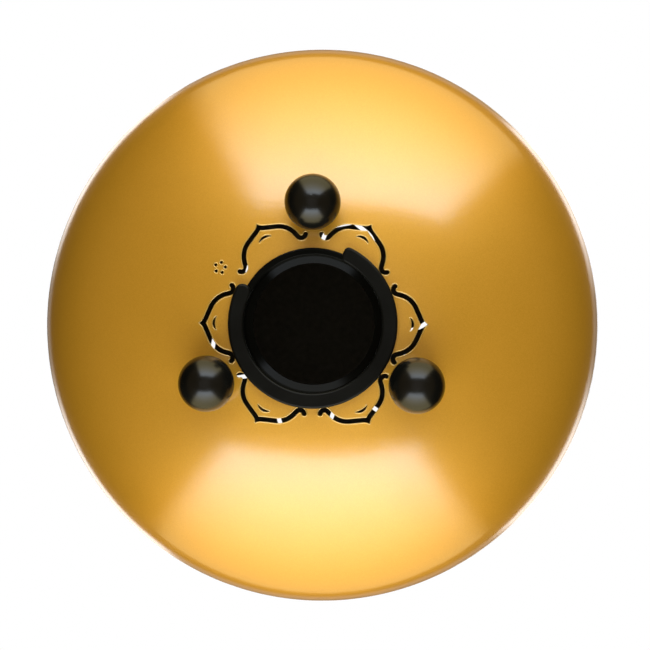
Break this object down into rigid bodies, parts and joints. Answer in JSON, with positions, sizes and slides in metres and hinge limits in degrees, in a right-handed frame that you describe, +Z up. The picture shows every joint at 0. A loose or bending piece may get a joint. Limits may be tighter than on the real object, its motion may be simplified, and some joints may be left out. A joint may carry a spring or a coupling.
{
  "type": "steel tongue drum",
  "caption": "Round gold steel tongue drum in handpan form: two domed heads welded at the rim, cut tongues above, a sound port with lotus slots below, on black ball feet.",
  "frame": {"origin": "on the drum's axis at the floor, in the plane of the three feet's contact flats", "axes": "+Z up, from the sound port to the tongue side; -Y towards the single foot between two lotus petals; +X to the right seen from -Y"},
  "size_m": [0.3558, 0.3558, 0.2022],
  "materials": {
    "gold_lacquer": "satin metallic gold lacquer with fine flake; bare dark primer on the inside",
    "port_black": "black moulded plastic, semi-gloss",
    "edge_rubber": "black rubber, satin",
    "ball_black": "polished black",
    "insert_brass": "turned brass",
    "zinc_steel": "bright zinc plate",
    "damper_rubber": "matte black rubber"
  },
  "bodies": {
    "root": {"top_shell": "gold_lacquer", "bottom_shell": "gold_lacquer", "seam_weld": "gold_lacquer", "port_liner": "port_black", "port_edge_strip": "edge_rubber", "foot_ball_front": "ball_black", "foot_insert_front": "insert_brass", "foot_damper_front": "damper_rubber", "foot_washer_front": "zinc_steel", "foot_bolt_front": "zinc_steel", "foot_ball_right": "ball_black", "foot_insert_right": "insert_brass", "foot_damper_right": "damper_rubber", "foot_washer_right": "zinc_steel", "foot_bolt_right": "zinc_steel", "foot_ball_left": "ball_black", "foot_insert_left": "insert_brass", "foot_damper_left": "damper_rubber", "foot_washer_left": "zinc_steel", "foot_bolt_left": "zinc_steel"}
  },
  "joints": []
}
